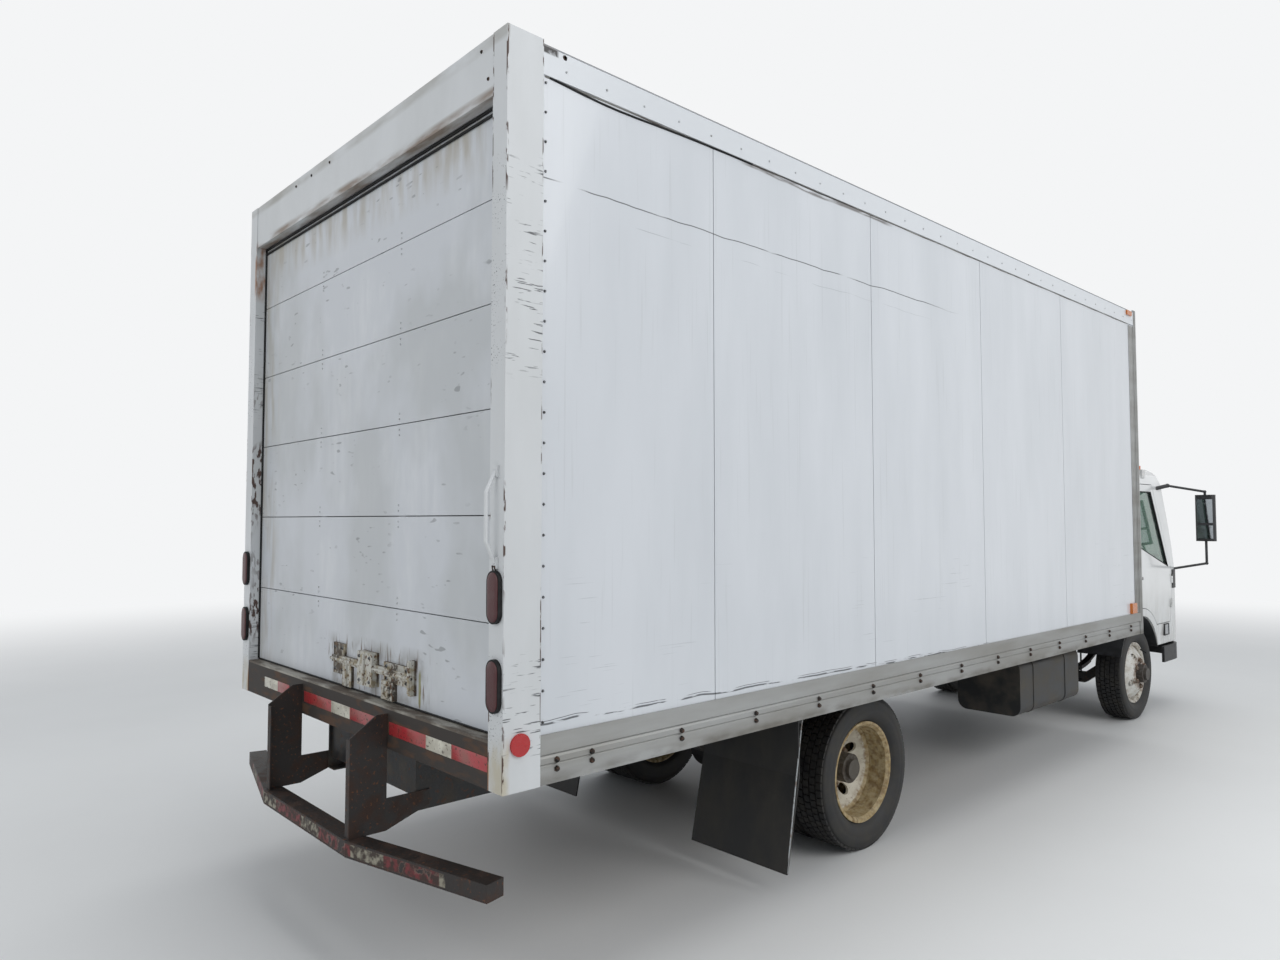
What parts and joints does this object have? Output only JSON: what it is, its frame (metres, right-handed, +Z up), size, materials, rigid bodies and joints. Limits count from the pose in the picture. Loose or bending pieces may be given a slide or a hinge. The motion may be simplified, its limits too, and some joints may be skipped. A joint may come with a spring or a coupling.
{
  "type": "box truck",
  "caption": "Low-cab-forward box truck: white dry freight body with a roll-up rear door, rear step, twin rear wheels, tilting cab with two doors and steered front wheels.",
  "frame": {"origin": "centre of the overall length and width, on the ground", "axes": "-Y is the truck's front, -X its right-hand side, +Z up"},
  "size_m": [2.606, 8.223, 3.439],
  "materials": {
    "white_body": "glossy white body panels, scuffed",
    "white_door": "satin white door panels",
    "white_cab": "glossy white cab paint",
    "rail_alloy": "white painted and worn extrusion",
    "deck_wood": "worn hardwood deck on dark bearers",
    "chassis_black": "matte black chassis paint with road dirt",
    "rusty_step": "brown-black paint with rust",
    "engine_grey": "dirty cast iron",
    "tank_alloy": "dull tank metal",
    "exhaust_steel": "heat-stained steel",
    "galvanised": "galvanised steel",
    "lamp_red": "dark red lens",
    "lamp_amber": "amber lens",
    "lamp_clear": "clear lens",
    "black_plastic": "black moulding",
    "window_glass": "green-tinted glass",
    "mirror_silver": "mirror",
    "seat_cloth": "grey cloth",
    "interior_grey": "grey cab trim",
    "rim_white": "off-white wheel paint with rust",
    "tyre_black": "road tyre",
    "flap_rubber": "black rubber sheet"
  },
  "bodies": {
    "chassis": {"frame_ladder": "chassis_black", "cab_mounts": "chassis_black", "engine_block": "engine_grey", "driveline": "engine_grey", "front_axle": "chassis_black", "rear_axle": "chassis_black", "leaf_springs": "chassis_black", "fuel_tank": "tank_alloy", "battery_box": "chassis_black", "exhaust": "exhaust_steel", "front_bumper": "white_cab", "rear_step": "rusty_step", "mud_flaps": "flap_rubber", "box_floor": "deck_wood", "box_edge_frame": "rail_alloy", "box_walls": "white_body", "box_roof": "white_body", "rear_frame": "white_body", "roll_up_door": "white_door", "door_gear": "galvanised", "door_latch": "galvanised", "tail_lamps": "lamp_red", "marker_lamps": "lamp_amber", "grab_handle": "white_body"},
    "cab": {"cab_shell": "white_cab", "cab_floor": "interior_grey", "arch_liners": "black_plastic", "cab_glass": "window_glass", "cab_lamps": "lamp_clear", "grille": "black_plastic", "dashboard": "interior_grey", "seats": "seat_cloth", "mirrors": "black_plastic", "mirror_glass": "mirror_silver", "corner_mouldings": "black_plastic", "wipers": "black_plastic", "roof_lamps": "lamp_amber", "aerial": "black_plastic"},
    "steering": {"steering_wheel": "black_plastic"},
    "door_right": {"cab_door_right": "white_cab", "door_glass_right": "window_glass"},
    "knuckle_right": {"knuckle_right": "chassis_black"},
    "front_wheel_right": {"front_tyre_right": "tyre_black", "front_rim_right": "rim_white"},
    "rear_wheels_right": {"rear_tyres_right": "tyre_black", "rear_rims_right": "rim_white"},
    "door_left": {"cab_door_left": "white_cab", "door_glass_left": "window_glass"},
    "knuckle_left": {"knuckle_left": "chassis_black"},
    "front_wheel_left": {"front_tyre_left": "tyre_black", "front_rim_left": "rim_white"},
    "rear_wheels_left": {"rear_tyres_left": "tyre_black", "rear_rims_left": "rim_white"}
  },
  "joints": [
    {"name": "cab_tilt", "type": "hinge", "parent": "chassis", "child": "cab", "pos_m": [0, -3.9615, 0.64], "axis": [1, 0, 0], "range_deg": [0, 45]},
    {"name": "door_right_swing", "type": "hinge", "parent": "cab", "child": "door_right", "pos_m": [-0.992, -3.7035, 1.3], "axis": [0, 0, 1], "range_deg": [0, 75]},
    {"name": "door_left_swing", "type": "hinge", "parent": "cab", "child": "door_left", "pos_m": [0.992, -3.7035, 1.3], "axis": [0, 0, -1], "range_deg": [0, 75]},
    {"name": "steering_wheel_turn", "type": "hinge", "parent": "cab", "child": "steering", "pos_m": [0.5, -3.4115, 1.43], "axis": [0, 0.6157, 0.788], "range_deg": [-540, 540]},
    {"name": "steer_right", "type": "hinge", "parent": "chassis", "child": "knuckle_right", "pos_m": [-0.73, -2.9215, 0.402], "axis": [0, 0, 1], "range_deg": [-36, 36]},
    {"name": "steer_left", "type": "hinge", "parent": "chassis", "child": "knuckle_left", "pos_m": [0.73, -2.9215, 0.402], "axis": [0, 0, 1], "range_deg": [-36, 36]},
    {"name": "front_wheel_right_spin", "type": "hinge", "parent": "knuckle_right", "child": "front_wheel_right", "pos_m": [-0.82, -2.9215, 0.402], "axis": [1, 0, 0], "continuous": true},
    {"name": "front_wheel_left_spin", "type": "hinge", "parent": "knuckle_left", "child": "front_wheel_left", "pos_m": [0.82, -2.9215, 0.402], "axis": [1, 0, 0], "continuous": true},
    {"name": "rear_wheels_right_spin", "type": "hinge", "parent": "chassis", "child": "rear_wheels_right", "pos_m": [-0.785, 1.4785, 0.402], "axis": [1, 0, 0], "continuous": true},
    {"name": "rear_wheels_left_spin", "type": "hinge", "parent": "chassis", "child": "rear_wheels_left", "pos_m": [0.785, 1.4785, 0.402], "axis": [1, 0, 0], "continuous": true}
  ],
  "couplings": [
    {"joint": "steer_left", "follows": "steer_right", "ratio": 1},
    {"joint": "steering_wheel_turn", "follows": "steer_right", "ratio": 15}
  ]
}
